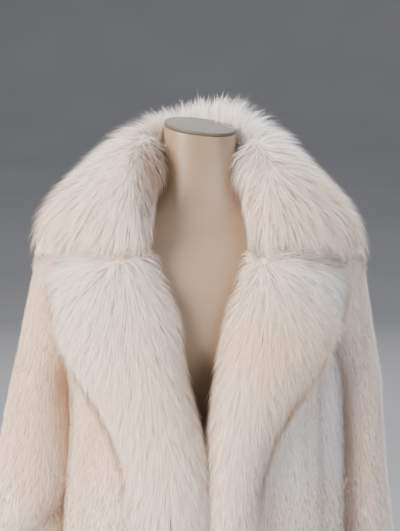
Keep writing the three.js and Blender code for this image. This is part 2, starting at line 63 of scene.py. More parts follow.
# Short-haired pelts: their flat cut, its area, faces kept in the leather, and strands of hair.
PELTS = {
    "coat_back": {"flat": (0.80, 1.05), "area": 0.64, "faces": 16000, "strands": 110000},
    "coat_front_right": {"flat": (0.40, 0.98), "area": 0.30, "faces": 8000, "strands": 78000},
    "coat_front_left": {"flat": (0.40, 0.98), "area": 0.30, "faces": 8000, "strands": 78000},
    "sleeve_right": {"flat": (0.42, 0.60), "area": 0.20, "faces": 8000, "strands": 78000},
    "sleeve_left": {"flat": (0.42, 0.60), "area": 0.20, "faces": 8000, "strands": 78000},
}
TRIMS = {
    "collar": {"faces": 8000, "strands": 64000},
    "lapel_right": {"faces": 7000, "strands": 49000},
    "lapel_left": {"faces": 7000, "strands": 49000},
}

# Middle line of each sleeve, from the cuff up, and how far its hair slants outward.
SLEEVE_SLANT = 0.24
SLEEVE_MIDDLE_Y = 0.018
BODY_MIDDLE = (0.005, -0.015)
SLEEVE_HEIGHTS = [0.76, 0.90, 1.04, 1.125, 1.17, 1.235, 1.33]
SLEEVE_MIDDLES = {
    "sleeve_right": [-0.294, -0.266, -0.245, -0.233, -0.212, -0.189, -0.156],
    "sleeve_left": [0.270, 0.252, 0.241, 0.231, 0.208, 0.188, 0.156],
}

# The fold across the right sleeve: its two ends (x, z), how far above it the sleeve bulges and how much.
FOLD = {"inner": (-0.205, 0.900), "outer": (-0.285, 0.850), "bulge": 0.03, "share": 0.75}

# Where the collar's hair parts beside the neck, and where each lapel's hair starts.
COLLAR_PARTING = {"x": 0.078, "y": -0.02, "z": 1.478}
WHORLS = {"lapel_right": (-0.117, -0.13, 1.318), "lapel_left": (0.084, -0.13, 1.316)}
GORGE = {"inner": 0.071, "z": 1.313, "slope": 0.13}  # the seam between the collar and the lapels
# Middle line of each lapel, from the hem up.
LAPEL_HEIGHTS = [0.38, 0.90, 1.02, 1.105, 1.195, 1.264]
LAPEL_MIDDLES = {
    "lapel_right": [-0.043, -0.048, -0.055, -0.088, -0.118, -0.127],
    "lapel_left": [0.049, 0.050, 0.056, 0.080, 0.115, 0.127],
}

# Colours of the fur from the hair's root to its tip, darkened toward the root as painted shade deep in the
# pile, and what
# they are multiplied by: painted light from cool highlights to warm light, the locks that are deepest in
# tone, and between the strips that the short-haired pelts are sewn from.
WHITE = (1.0, 1.0, 1.0)
COOL = (0.91, 0.95, 1.0)
SHADOW = (0.45, 0.34, 0.27)
LONG_FUR = {
    "root": (0.80, 0.69, 0.58), "middle": (0.90, 0.82, 0.74), "tip": (0.96, 0.91, 0.86),
    "warm": (1.0, 0.88, 0.75), "deepest": (0.92, 0.90, 0.88), "strips": None,
}
SHORT_FUR = {
    "root": (0.84, 0.74, 0.65), "middle": (0.91, 0.83, 0.76), "tip": (0.95, 0.89, 0.83),
    "warm": (1.0, 0.87, 0.74), "deepest": (0.89, 0.86, 0.84), "strips": (0.92, 0.88, 0.85),
}
# The underfur's tan, darker than the hair, is partly painted shade in the gaps between the locks.
LONG_UNDERFUR_AND_SHADE = {"dark": (0.75, 0.65, 0.56), "light": (0.85, 0.77, 0.69)}
SHORT_UNDERFUR_AND_SHADE = {"dark": (0.80, 0.71, 0.62), "light": (0.90, 0.82, 0.74)}

# Painted light on the ivory fur: warmer (+) for warm light and warm shade, cooler (-) for cool highlights; x,
# z, radius and change.
PAINTED_LIGHT_TINTS = {
    "collar": [(0.04, 1.49, 0.08, -0.6), (-0.14, 1.43, 0.06, -0.35), (-0.07, 1.43, 0.03, 0.8),
               (-0.17, 1.33, 0.05, 0.6), (0.12, 1.38, 0.07, 0.3)],
    "lapel_right": [(-0.14, 1.29, 0.06, -0.6), (-0.06, 1.12, 0.12, 0.25)],
    "lapel_left": [(0.11, 1.19, 0.10, 0.6), (0.12, 1.30, 0.03, -0.6), (0.17, 1.27, 0.035, -0.7)],
    "sleeve_right": [(-0.25, 1.12, 0.20, 0.6)],
    "sleeve_left": [(0.22, 1.15, 0.10, -0.1)],
    "coat_front_right": [(-0.14, 1.06, 0.12, 0.5)],
    "coat_front_left": [(0.16, 1.06, 0.12, -0.7)],
    "coat_back": [],
}

# Soft lines where the fur is in shadow: x and z of both ends, radius and strength.
SHADES = {
    "sleeve_right": [(-0.195, 0.898, -0.295, 0.840, 0.009, 0.9)],
    "sleeve_left": [(0.207, 1.16, 0.222, 0.88, 0.030, 0.35)],
    "coat_front_left": [(0.172, 1.13, 0.180, 0.88, 0.006, 0.35)],
    "collar": [(-0.060, 1.475, -0.068, 1.385, 0.025, 0.7)],
    "lapel_left": [(0.150, 1.308, 0.195, 1.290, 0.008, 0.5)],
}

# The form, from its lower edge to the neck: height, half width, half depths in front and behind.
FORM_ROWS = np.array([
    (0.800, 0.150, 0.104, 0.112),
    (0.870, 0.166, 0.112, 0.122),
    (0.950, 0.146, 0.102, 0.102),
    (1.020, 0.126, 0.094, 0.086),
    (1.100, 0.132, 0.104, 0.090),
    (1.180, 0.146, 0.122, 0.098),
    (1.250, 0.160, 0.108, 0.098),
    (1.305, 0.170, 0.084, 0.084),
    (1.334, 0.158, 0.068, 0.070),
    (1.354, 0.118, 0.061, 0.063),
    (1.370, 0.084, 0.057, 0.060),
    (1.392, 0.062, 0.054, 0.057),
    (1.425, 0.054, 0.052, 0.054),
    (1.464, 0.0525, 0.053, 0.053),
])
FORM_POWER = 0.9
FORM_SIDES = 96
FORM_RINGS = 79
CUT_HEIGHT = 1.480  # middle of the neck's flat cut
CAP_HEIGHT = 0.005
CUT_SLOPE = {"sideways": -0.115, "forward": 0.1}

CAMERA = {"target": (0.0, -0.06, 1.282), "distance": 1.8, "elevation": 12}
LIGHTS_MIDDLE = (0.0, 0.0, 1.2)
LIGHTS = {
    "front_left": {"at": (-3.0, -2.4, 2.1), "size": 2.4, "watts": 475, "colour": (1.0, 0.89, 0.78)},
    "front_right": {"at": (2.2, -3.0, 1.8), "size": 2.4, "watts": 115, "colour": (0.90, 0.94, 1.0)},
    "top": {"at": (0.4, 0.9, 3.6), "size": 2.4, "watts": 150, "colour": (0.86, 0.93, 1.0)},
    "behind": {"at": (0.0, 4.0, 2.2), "size": 3.0, "watts": 60, "colour": (1.0, 0.98, 0.95)},
}
SKY = {"colour": (0.93, 0.95, 1.0), "strength": 0.65}
FLOOR = {"flat": 12.0, "bend": 6.0, "steps": 12, "sides": 96}


# Arrays

def unit(vectors):
    return vectors / np.maximum(np.linalg.norm(vectors, axis=1, keepdims=True), 1e-9)


def dot(a, b):
    return np.einsum("ij,ij->i", a, b)


def smoothstep(values, low, high):
    share = np.clip((values - low) / (high - low), 0, 1)
    return share * share * (3 - 2 * share)


def on_surface(vectors, normals):
    """The part of each vector that lies along the surface."""
    return vectors - normals * dot(vectors, normals)[:, None]


def points_of(mesh):
    values = np.empty(len(mesh.vertices) * 3)
    mesh.vertices.foreach_get("co", values)
    return values.reshape(-1, 3)


def normals_of(mesh):
    values = np.empty(len(mesh.vertices) * 3, np.float32)
    mesh.vertex_normals.foreach_get("vector", values)
    return values.reshape(-1, 3).astype(float)


def triangles_of(mesh):
    mesh.calc_loop_triangles()
    values = np.empty(len(mesh.loop_triangles) * 3, np.int32)
    mesh.loop_triangles.foreach_get("vertices", values)
    return values.reshape(-1, 3)


def edges_of(mesh):
    values = np.empty(len(mesh.edges) * 2, np.int32)
    mesh.edges.foreach_get("vertices", values)
    return values.reshape(-1, 2)


def spread(values, edges, rounds):
    """Each vertex's value averaged with its neighbours', several times."""
    count = len(values)
    ends = np.concatenate([edges[:, 0], edges[:, 1]])
    others = np.concatenate([edges[:, 1], edges[:, 0]])
    near = np.bincount(ends, minlength=count) + 1
    for _ in range(rounds):
        values = (values + np.bincount(ends, values[others], minlength=count)) / near
    return values


def spread_vectors(values, edges, rounds):
    return np.column_stack([spread(values[:, k], edges, rounds) for k in range(3)])


# Materials

def new_material(name):
    material = bpy.data.materials.new(name)
    material.use_nodes = True
    tree = material.node_tree
    return material, tree, tree.nodes["Principled BSDF"]


def add_node(tree, kind, inputs=None, **settings):
    node = tree.nodes.new(kind)
    for key, value in settings.items():
        setattr(node, key, value)
    for key, value in (inputs or {}).items():
        if isinstance(value, bpy.types.NodeSocket):
            tree.links.new(value, node.inputs[key])
        else:
            node.inputs[key].default_value = value
    return node


def place(tree):
    return add_node(tree, "ShaderNodeTexCoord").outputs["Object"]


def stretched_place(tree, scale):
    mapping = add_node(tree, "ShaderNodeMapping", {"Vector": place(tree), "Scale": scale})
    return mapping.outputs["Vector"]


def noise(tree, vector, scale, detail=3.0):
    node = add_node(tree, "ShaderNodeTexNoise", {"Vector": vector, "Scale": scale, "Detail": detail})
    return node.outputs["Fac"]


def ramp(tree, value, stops):
    node = add_node(tree, "ShaderNodeValToRGB", {"Fac": value})
    elements = node.color_ramp.elements
    while len(elements) < len(stops):
        elements.new(0.5)
    for element, (at, colour) in zip(elements, stops):
        element.position = at
        element.color = (*colour, 1)
    return node.outputs["Color"]


def mixed(tree, share, first, second, blend="MIX"):
    node = add_node(tree, "ShaderNodeMix", data_type="RGBA", blend_type=blend)
    for index, value in ((0, share), (6, first), (7, second)):
        if isinstance(value, bpy.types.NodeSocket):
            tree.links.new(value, node.inputs[index])
        elif index:
            node.inputs[index].default_value = (*value, 1)
        else:
            node.inputs[index].default_value = value
    return node.outputs[2]


def attribute(tree, name):
    return add_node(tree, "ShaderNodeAttribute", attribute_name=name).outputs["Fac"]


def ranged(tree, value, low, high):
    node = add_node(tree, "ShaderNodeMapRange", {"Value": value, "To Min": low, "To Max": high})
    return node.outputs["Result"]


def times(tree, first, second):
    return mixed(tree, 1.0, first, second, "MULTIPLY")


def finish_surface(tree, shader, colour, roughness, height=None, depth=0.0005, strength=0.3):
    tree.links.new(colour, shader.inputs["Base Color"])
    tree.links.new(roughness, shader.inputs["Roughness"])
    if height is not None:
        inputs = {"Height": height, "Distance": depth, "Strength": strength}
        bump = add_node(tree, "ShaderNodeBump", inputs)
        tree.links.new(bump.outputs["Normal"], shader.inputs["Normal"])


def hair_material(name, fur):
    """Hair darkened toward its roots as painted shade, with painted warm light, cool highlights and shade in
    places, and a tone for each lock.
    """
    material, tree, shader = new_material(name)
    # darker toward the root: painted shade deep in the pile
    stops = [(0.0, fur["root"]), (0.4, fur["middle"]), (1.0, fur["tip"])]
    colour = ramp(tree, attribute(tree, "reach"), stops)
    # painted light: warm light and shade toward the warm colour, cool highlights toward COOL
    colour = times(tree, colour, mixed(tree, attribute(tree, "light_warmth"), COOL, fur["warm"]))
    patches = noise(tree, place(tree), 9.0, 3.0)
    colour = times(tree, colour, ramp(tree, patches, [(0.35, (0.96, 0.95, 0.94)), (0.65, WHITE)]))
    colour = times(tree, colour, ramp(tree, attribute(tree, "light"), [(0.0, SHADOW), (1.0, WHITE)]))
    colour = times(tree, colour, ramp(tree, attribute(tree, "tone"), [(0.0, fur["deepest"]), (1.0, WHITE)]))
    if fur["strips"]:
        bands = noise(tree, stretched_place(tree, (1.0, 1.0, 0.06)), 34.0, 1.0)
        colour = times(tree, colour, ramp(tree, bands, [(0.38, fur["strips"]), (0.6, WHITE)]))
    finish_surface(tree, shader, colour, ranged(tree, attribute(tree, "tone"), 0.62, 0.8))
    shader.inputs["Sheen Weight"].default_value = 0.25
    shader.inputs["Sheen Roughness"].default_value = 0.6
    shader.inputs["Specular IOR Level"].default_value = 0.25
    return material


def underfur_and_shade_material(name, fur):
    """The dense short hair at the leather, combed downward, in a tan darker than the hair that is partly
    painted shade between the locks.
    """
    material, tree, shader = new_material(name)
    streaks = noise(tree, stretched_place(tree, (1.0, 1.0, 0.12)), 420.0, 2.0)
    strips = noise(tree, stretched_place(tree, (1.0, 1.0, 0.1)), 22.0, 1.0)
    # underfur colour, darkened as painted shade for the gaps between the locks
    fine = ramp(tree, streaks, [(0.3, fur["dark"]), (0.7, fur["light"])])
    wide = ramp(tree, strips, [(0.35, (0.9, 0.86, 0.82)), (0.6, WHITE)])
    colour = times(tree, fine, wide)
    finish_surface(tree, shader, colour, ranged(tree, streaks, 0.75, 0.95), streaks, 0.0015, 0.6)
    return material


def form_material():
    material, tree, shader = new_material("form_shell")
    cloudy = noise(tree, place(tree), 9.0, 3.0)
    fine = noise(tree, place(tree), 900.0, 2.0)
    colour = ramp(tree, cloudy, [(0.3, (0.236, 0.160, 0.104)), (0.7, (0.268, 0.188, 0.127))])
    finish_surface(tree, shader, colour, ranged(tree, cloudy, 0.40, 0.5), fine, 0.0002, 0.15)
    return material


def cap_material():
    material, tree, shader = new_material("form_cap")
    cloudy = noise(tree, place(tree), 40.0, 4.0)
    colour = ramp(tree, cloudy, [(0.3, (0.082, 0.067, 0.051)), (0.7, (0.113, 0.093, 0.072))])
    finish_surface(tree, shader, colour, ranged(tree, cloudy, 0.5, 0.65), cloudy, 0.0002, 0.2)
    shader.inputs["Specular IOR Level"].default_value = 0.25
    return material


def steel_material():
    material, tree, shader = new_material("brushed_steel")
    brushed = noise(tree, stretched_place(tree, (1.0, 1.0, 30.0)), 60.0, 2.0)
    colour = ramp(tree, brushed, [(0.3, (0.55, 0.55, 0.54)), (0.7, (0.66, 0.66, 0.65))])
    finish_surface(tree, shader, colour, ranged(tree, brushed, 0.25, 0.4), brushed, 0.0001, 0.1)
    shader.inputs["Metallic"].default_value = 1.0
    return material


def floor_material():
    material, tree, shader = new_material("floor")
    cloudy = noise(tree, place(tree), 0.8, 2.0)
    colour = ramp(tree, cloudy, [(0.3, (0.24, 0.24, 0.25)), (0.7, (0.26, 0.26, 0.27))])
    finish_surface(tree, shader, colour, ranged(tree, cloudy, 0.85, 0.95))
    return material


# Pelts

def new_piece(name, mesh):
    piece = bpy.data.objects.new(name, mesh)
    bpy.context.scene.collection.objects.link(piece)
    return piece


def apply_modifiers(piece):
    graph = bpy.context.evaluated_depsgraph_get()
    made = bpy.data.meshes.new_from_object(piece.evaluated_get(graph))
    old = piece.data
    piece.modifiers.clear()
    piece.data = made
    bpy.data.meshes.remove(old)
    made.polygons.foreach_set("use_smooth", [True] * len(made.polygons))


def smooth_copy(node, name, voxel, rounds):
    """The node's solid as an even mesh, with its facets smoothed out."""
    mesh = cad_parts[node].data.copy()
    mesh.materials.clear()
    piece = new_piece(name, mesh)
    remesh = piece.modifiers.new("even", "REMESH")
    remesh.mode = "VOXEL"
    remesh.voxel_size = voxel
    smooth = piece.modifiers.new("smooth", "SMOOTH")
    smooth.iterations = rounds
    apply_modifiers(piece)
    return piece


def tree_of(nodes):
    """These CAD nodes as one tree, to find what lies against another."""
    points, faces, start = [], [], 0
    for node in nodes:
        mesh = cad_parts[node].data
        points.append(points_of(mesh))
        faces.append(triangles_of(mesh) + start)
        start += len(points[-1])
    return BVHTree.FromPolygons(np.concatenate(points).tolist(), np.concatenate(faces).tolist())


def bare_share(points, normals, others, reach):
    """1 where nothing lies within reach over a vertex, 0 where something does."""
    shares = np.ones(len(points))
    for i, (point, normal) in enumerate(zip(points, normals)):
        if others.ray_cast(Vector(point), Vector(normal), reach)[0] is not None:
            shares[i] = 0
    return shares


def outer_side(node, points, normals):
    """1 on the hairy side of a short-haired pelt, -1 on its leather side."""
    below = points[:, 2] - 0.06
    if node in SLEEVE_MIDDLES:
        middle_x = np.interp(below, SLEEVE_HEIGHTS, SLEEVE_MIDDLES[node])
        middle = np.column_stack([middle_x, np.full(len(points), SLEEVE_MIDDLE_Y), below])
    else:
        middle = np.column_stack([np.tile(BODY_MIDDLE, (len(points), 1)), below])
    return dot(unit(points - middle), normals)


def distance_to(points, tree):
    return np.array([tree.find_nearest(Vector(point))[3] for point in points])


class Skin:
    """A pelt's surface: its leather, how high the hair stands on it and where hair grows."""

    def __init__(self, leather, rise, normals, faces, growth):
        self.leather = leather
        self.rise = rise
        self.normals = normals
        self.faces = faces
        self.growth = growth[faces].mean(axis=1)
        corners = leather[faces]
        crossed = np.cross(corners[:, 1] - corners[:, 0], corners[:, 2] - corners[:, 0])
        self.areas = np.linalg.norm(crossed, axis=1) / 2
        self.tree = BVHTree.FromPolygons(leather.tolist(), faces.tolist())

    def nearest(self, points):
        """Foot, smooth normal and height of the hair at the skin below each point."""
        feet, faces = np.empty_like(points), np.empty(len(points), int)
        for i, point in enumerate(points):
            foot, _, face, _ = self.tree.find_nearest(Vector(point))
            feet[i] = foot
            faces[i] = face
        corners = self.faces[faces]
        return feet, unit(self.normals[corners].sum(axis=1)), self.rise[corners].mean(axis=1)


def make_skin(node, piece, sink_of, faces_kept):
    """Sinks the piece's mesh to the leather, thins out its faces and returns the skin."""
    mesh = piece.data
    sink, rise, growth = sink_of(node, mesh)
    smooth_normals = unit(spread_vectors(normals_of(mesh), edges_of(mesh), 3))
    skin = Skin(points_of(mesh) + sink, rise, smooth_normals, triangles_of(mesh), growth)
    mesh.vertices.foreach_set("co", skin.leather.ravel())
    mesh.update()
    thin = piece.modifiers.new("fewer", "DECIMATE")
    thin.ratio = min(faces_kept / len(skin.faces), 1.0)
    apply_modifiers(piece)
    return skin


def fold_share(points):
    """1 just above the right sleeve's fold, 0 below it and away from it."""
    inner, outer = np.array(FOLD["inner"]), np.array(FOLD["outer"])
    length = np.linalg.norm(outer - inner)
    line = (outer - inner) / length
    from_inner = points[:, [0, 2]] - inner
    along_line = from_inner @ line
    above = from_inner @ np.array([line[1], -line[0]])
    in_reach = smoothstep(along_line, -0.03, 0.0) * (1 - smoothstep(along_line, length, length + 0.03))
    in_front = smoothstep(-points[:, 1], 0.0, 0.03)
    bulge = np.exp(-(above / FOLD["bulge"]) ** 2) * smoothstep(above, -0.006, 0.010)
    return bulge * in_reach * in_front


def toward_neighbour(points, outward, others):
    """How far each vertex moves sideways to meet the pelt that is sewn to it."""
    shift = np.zeros_like(points)
    for i, point in enumerate(points):
        nearest = others.find_nearest(Vector(point), SEAM_REACH)[0]
        if nearest is not None:
            shift[i] = np.array(nearest) - point
    return on_surface(shift, outward)


def pelt_sink(node, mesh):
    """A pelt's hairy side sinks from the hair tips to the leather; what lies against a neighbour stays."""
    points, normals, edges = points_of(mesh), normals_of(mesh), edges_of(mesh)
    outer = (outer_side(node, points, normals) > 0.35).astype(float)
    others = tree_of(set(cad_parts) - {node})

    def share_near(reach, rounds):
        free = bare_share(points, normals, others, reach)
        return spread(free * outer, edges, rounds) / np.maximum(spread(outer, edges, rounds), 1e-6)

    inward = -unit(spread_vectors(normals * outer[:, None], edges, 6))
    cover = np.minimum(1.5 * spread(outer, edges, 3), 1)
    depth = spread(cover * share_near(CLOSE_BY, 14), edges, 3) * (WALL - LEATHER)
    if node == "sleeve_right":
        depth *= 1 - FOLD["share"] * fold_share(points)
    growth = np.where(cover > 0.6, 0.04 + np.minimum(2.5 * share_near(COVERED, 8), 1), 0)
    sewn = spread_vectors(toward_neighbour(points, inward, others), edges, 1)
    return inward * depth[:, None] + sewn, np.maximum(depth, SHORT_RISE), growth


def partings(points):
    """The collar's parting nearest to each point."""
    side = np.where(points[:, 0] < 0, -1.0, 1.0)
    return np.column_stack([side * COLLAR_PARTING["x"],
                            np.full(len(points), COLLAR_PARTING["y"]),
                            np.full(len(points), COLLAR_PARTING["z"])])


def above_gorge(points):
    """How far each point lies above the seam between the collar and the lapels."""
    outward = np.maximum(np.abs(points[:, 0]) - GORGE["inner"], 0)
    return points[:, 2] - GORGE["z"] + outward * GORGE["slope"]


def facing_neck(points, normals):
    return smoothstep(-dot(unit(points * (1, 1, 0)), normals), 0.0, 0.5)


def pile_depth(node, points, normals):
    """How deep a trim's leather lies: shallow where the hair starts and where it faces the neck."""
    if node == "collar":
        away = np.linalg.norm(points - partings(points), axis=1)
        in_front = smoothstep(-points[:, 1], -0.02, 0.05)
        started = 1 - 0.5 * in_front * (1 - smoothstep(away, 0.01, 0.06))
        return LONG_PILE * started * (1 - 0.85 * facing_neck(points, normals))
    return LONG_PILE * (0.4 + 0.6 * smoothstep(-above_gorge(points), 0.0, 0.05))


def least_rise(node, points, normals):
    """How high the long hair stands at least: up to the neck, and in a full round at a lapel's top."""
    if node == "collar":
        beside_neck = smoothstep(points[:, 2], 1.385, 1.425)
        return NECK_RISE * facing_neck(points, normals) * beside_neck
    outer = smoothstep(np.abs(points[:, 0]) - abs(WHORLS[node][0]), -0.02, 0.01)
    return LAPEL_TOP_RISE * outer * (1 - smoothstep(-above_gorge(points), 0.02, 0.07))


def trim_sink(node, mesh):
    """A trim's free side sinks to the leather under its long hair; the side that it lies on stays."""
    points, normals, edges = points_of(mesh), normals_of(mesh), edges_of(mesh)
    bed = tree_of(set(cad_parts) - set(TRIMS))
    above_bed = distance_to(points, bed)
    off_bed = bare_share(points, normals, bed, TOUCHING)
    off_trim = bare_share(points, normals, tree_of(set(TRIMS) - {node}), TOUCHING)
    inward = -unit(spread_vectors(normals * off_trim[:, None], edges, 6))
    held = inward * np.minimum(pile_depth(node, points, normals), BED_SHARE * above_bed)[:, None]
    seam = ((off_trim < 0.5) & (above_bed > 0.003))[:, None]
    sink = np.where(seam, 0, held)
    for _ in range(40):
        sink = np.where(seam, spread_vectors(sink, edges, 1), held)
    growth = np.where(spread(off_bed * off_trim, edges, 10) > 0.1, 1.0, 0.0)
    sink = spread_vectors(sink, edges, 4)
    at_edge = EDGE_RISE * (1 - smoothstep(above_bed, 0.012, 0.03))
    rise = np.maximum(np.linalg.norm(sink, axis=1), least_rise(node, points, normals) + at_edge)
    return sink, spread(rise, edges, 4), growth


# Hair

def scatter(skin, count, rng, weight):
    """Random places on the skin, by area and weight: foot, normal and height of the hair."""
    centres = skin.leather[skin.faces].mean(axis=1)
    chance = skin.areas * skin.growth * weight(centres)
    chosen = skin.faces[rng.choice(len(skin.faces), count, p=chance / chance.sum())]
    a, b = np.sqrt(rng.random(count)), rng.random(count)
    share = np.column_stack([1 - a, a * (1 - b), a * b])
    feet = np.einsum("ij,ijk->ik", share, skin.leather[chosen])
    normals = unit(np.einsum("ij,ijk->ik", share, skin.normals[chosen]))
    return feet, normals, dot(share, skin.rise[chosen])


def comb(skin, places, flow, length, lift, levels, grip):
    """A guide for each lock: it walks along the skin with the lay of the hair and rises to the tips."""
    foot, normal, rise = places
    curve, ups = [foot], [normal]
    for level in range(1, levels):
        share = level / (levels - 1)
        heading = flow(foot, normal)
        ahead = foot + heading * (length / (levels - 1))[:, None]
        below, turned, rise_there = skin.nearest(ahead)
        held = grip[level - 1]
        foot = ahead + (below - ahead) * held
        normal = unit(normal * (1 - held) + turned * held)
        rise = 0.5 * rise + 0.5 * rise_there
        height = rise * lift * (1 - (1 - share) ** 1.6)
        curve.append(foot + normal * height[:, None])
        ups.append(normal)
    return np.stack(curve, axis=1), np.stack(ups, axis=1)


def along(values, shares):
    """Values between the guide's levels: values is (strand, level, xyz), shares is (strand, place)."""
    last = values.shape[1] - 1
    at = np.clip(shares, 0, 1) * last
    index = np.minimum(at.astype(int), last - 1)
    part = (at - index)[..., None]
    rows = np.arange(len(values))[:, None]
    return values[rows, index] * (1 - part) + values[rows, index + 1] * part


def strands_from(guides, ups, spec, rng):
    """Strands gathered round their lock's guide: the middle line, the up direction and the lock of each."""
    lock = np.repeat(np.arange(len(guides)), spec["per_lock"])
    count = len(lock)
    levels = spec["levels"]
    reach = np.linspace(0, 1, levels)[None, :] * rng.uniform(spec["shortest"], 1.0, count)[:, None]
    line, up = along(guides[lock], reach), along(ups[lock], reach)
    first = unit(on_surface(guides[lock, 1] - guides[lock, 0], ups[lock, 0]))
    across = np.cross(first, ups[lock, 0])
    angle = rng.uniform(0, 2 * math.pi, count)
    radius = spec["radius"] * np.sqrt(rng.random(count))
    offset = first * (radius * np.cos(angle))[:, None]
    offset += across * (radius * np.sin(angle))[:, None]
    gather = 1 - spec["clump"] * reach ** 1.3
    stray = rng.normal(0, spec["stray"], (count, 3))
    line = line + offset[:, None] * gather[..., None] + stray[:, None] * (reach ** 2)[..., None]
    return line, up, lock


def ribbons(line, up, half_widths, rng, roll):
    """Points of flat tapered strands: two at each level and one at the tip, with their normals."""
    count, levels, _ = line.shape
    tangent = np.empty_like(line)
    tangent[:, 1:-1] = line[:, 2:] - line[:, :-2]
    tangent[:, 0] = line[:, 1] - line[:, 0]
    tangent[:, -1] = line[:, -1] - line[:, -2]
    flat_tangent, flat_up = unit(tangent.reshape(-1, 3)), unit(up.reshape(-1, 3))
    across = unit(np.cross(flat_tangent, flat_up)).reshape(line.shape)
    facing = unit(np.cross(across.reshape(-1, 3), flat_tangent)).reshape(line.shape)
    turn = rng.uniform(-roll, roll, count)[:, None, None]
    side = across * np.cos(turn) + facing * np.sin(turn)
    outward = facing * np.cos(turn) - across * np.sin(turn)
    soft = unit((outward * 0.3 + up * 0.7).reshape(-1, 3)).reshape(line.shape)
    points, normals = [], []
    for level in range(levels - 1):
        reach = side[:, level] * half_widths[level][:, None]
        points += [line[:, level] - reach, line[:, level] + reach]
        normals += [soft[:, level], soft[:, level]]
    points.append(line[:, -1])
    normals.append(soft[:, -1])
    return np.stack(points, axis=1), np.stack(normals, axis=1)


def ribbon_triangles(count, levels):
    one = []
    for level in range(levels - 2):
        a = 2 * level
        one += [(a, a + 1, a + 3), (a, a + 3, a + 2)]
    one.append((2 * levels - 4, 2 * levels - 3, 2 * levels - 2))
    size = 2 * levels - 1
    return (np.array(one)[None] + np.arange(count)[:, None, None] * size).reshape(-1, 3)


def triangle_mesh(name, points, triangles, normals, values):
    mesh = bpy.data.meshes.new(name)
    mesh.vertices.add(len(points))
    mesh.vertices.foreach_set("co", points.ravel())
    mesh.loops.add(triangles.size)
    mesh.loops.foreach_set("vertex_index", triangles.ravel())
    mesh.polygons.add(len(triangles))
    mesh.polygons.foreach_set("loop_start", np.arange(0, triangles.size, 3))
    mesh.update(calc_edges=True)
    mesh.polygons.foreach_set("use_smooth", [True] * len(triangles))
    for key, numbers in values.items():
        mesh.attributes.new(key, "FLOAT", "POINT").data.foreach_set("value", numbers)
    mesh.normals_split_custom_set_from_vertices(normals.tolist())
    return mesh


def grow_guides(skin, locks, spec, rng):
    """Where each lock stands, and its guide with the up direction at each level."""
    places = scatter(skin, locks, rng, spec["weight"])
    length = spec["length"] * rng.uniform(0.75, 1.1, locks) * spec["shorten"](places[0])
    lift = np.clip(rng.normal(spec["lift"], spec["lift"] * 0.08, locks), 0.5, 1.3)
    lift *= spec["boost"](places[0])
    wander = rng.normal(0, spec["wander"], (locks, 3))

    def flow(points, normals):
        return unit(on_surface(spec["flow"](points, normals) + wander, normals))

    guides, ups = comb(skin, places, flow, length, lift, spec["levels"], spec["grip"])
    return places[0], guides, ups


def hair_values(node, roots, lock, points, levels, rng):
    """What the hair's material reads at each point: its reach from root to tip, tone, painted warmth of light
    and painted shade.
    """
    count, size, _ = points.shape
    reach = np.minimum(np.arange(size) // 2, levels - 1) / (levels - 1)
    tone = np.clip(0.55 * rng.random(len(roots))[lock] + 0.45 * rng.random(count), 0, 1)
    return {"reach": np.tile(reach, count), "tone": np.repeat(tone, size),
            "light_warmth": np.repeat(painted_light_warmth_at(node, roots)[lock], size),
            "light": shade_at(node, points.reshape(-1, 3))}


def grow_hair(node, skin, strands, spec, material):
    """Covers a skin with hair as one joined mesh that rides with it."""
    rng = np.random.default_rng(spec["seed"])
    levels = spec["levels"]
    roots, guides, ups = grow_guides(skin, strands // spec["per_lock"], spec, rng)
    line, up, lock = strands_from(guides, ups, spec, rng)
    width = spec["width"] * rng.uniform(0.6, 1.3, len(line))
    half_widths = [width / 2 * share for share in np.linspace(1, 0.3, levels - 1)]
    points, normals = ribbons(line, up, half_widths, rng, spec["roll"])
    values = hair_values(node, roots, lock, points, levels, rng)
    triangles = ribbon_triangles(len(line), levels)
    mesh = triangle_mesh(node + "_hair", points.reshape(-1, 3), triangles, normals.reshape(-1, 3), values)
    mesh.materials.append(material)
    hair = new_piece(node + "_hair", mesh)
    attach(hair, "root")


def painted_light_warmth_at(node, points):
    """How warm the painted light makes the fur's ivory: 0 is a cool white highlight, 1 is warm cream light
    and shade.
    """
    light_warmth = np.full(len(points), 0.5)
    for x, z, radius, change in PAINTED_LIGHT_TINTS[node]:
        away = np.hypot(points[:, 0] - x, points[:, 2] - z)
        light_warmth += change * np.exp(-(away / radius) ** 2)
    return np.clip(light_warmth, 0, 1)


def shade_at(node, points):
    """How much light the fur gets: 1 in the open, less along its soft lines of shadow."""
    light = np.ones(len(points))
    for x1, z1, x2, z2, radius, strength in SHADES.get(node, []):
        start, step = np.array([x1, z1]), np.array([x2 - x1, z2 - z1])
        from_start = points[:, [0, 2]] - start
        share = np.clip(from_start @ step / (step @ step), 0, 1)
        away = np.linalg.norm(from_start - share[:, None] * step, axis=1)
        in_front = smoothstep(-points[:, 1], -0.02, 0.0)
        light *= 1 - strength * in_front * np.exp(-(away / radius) ** 2)
    return light


def down_flow(points, normals):
    return np.tile([0.0, 0.0, -1.0], (len(points), 1))


def sleeve_flow(node):
    outward = SLEEVE_SLANT if node == "sleeve_left" else -SLEEVE_SLANT

    def flow(points, normals):
        return np.tile([outward, 0.0, -1.0], (len(points), 1))

    return flow


def collar_flow(points, normals):
    """Up the inner face, over the crest and down behind; in front it parts beside the neck and falls."""
    x, y, z = points.T
    round_neck = unit(np.column_stack([-y, x, np.zeros(len(points))]))
    behind = np.cross(round_neck, normals)
    away = points - partings(points)
    far = np.linalg.norm(away, axis=1)
    at_edge = 1 - smoothstep(np.abs(x) - COLLAR_PARTING["x"], 0.0, 0.045)
    fall = 0.1 + (0.15 + 1.8 * at_edge) * smoothstep(far, 0.03, 0.13)
    corner = smoothstep(np.abs(x), 0.18, 0.23) * (1 - smoothstep(z, 1.33, 1.39))
    front = unit(on_surface(away * (1.6, 1, 1), normals))
    front += np.column_stack([-1.3 * np.sign(x) * corner, np.zeros(len(x)), -fall])
    share = smoothstep(y, 0.02, -0.05)[:, None]
    return behind * (1 - share) + unit(front) * share


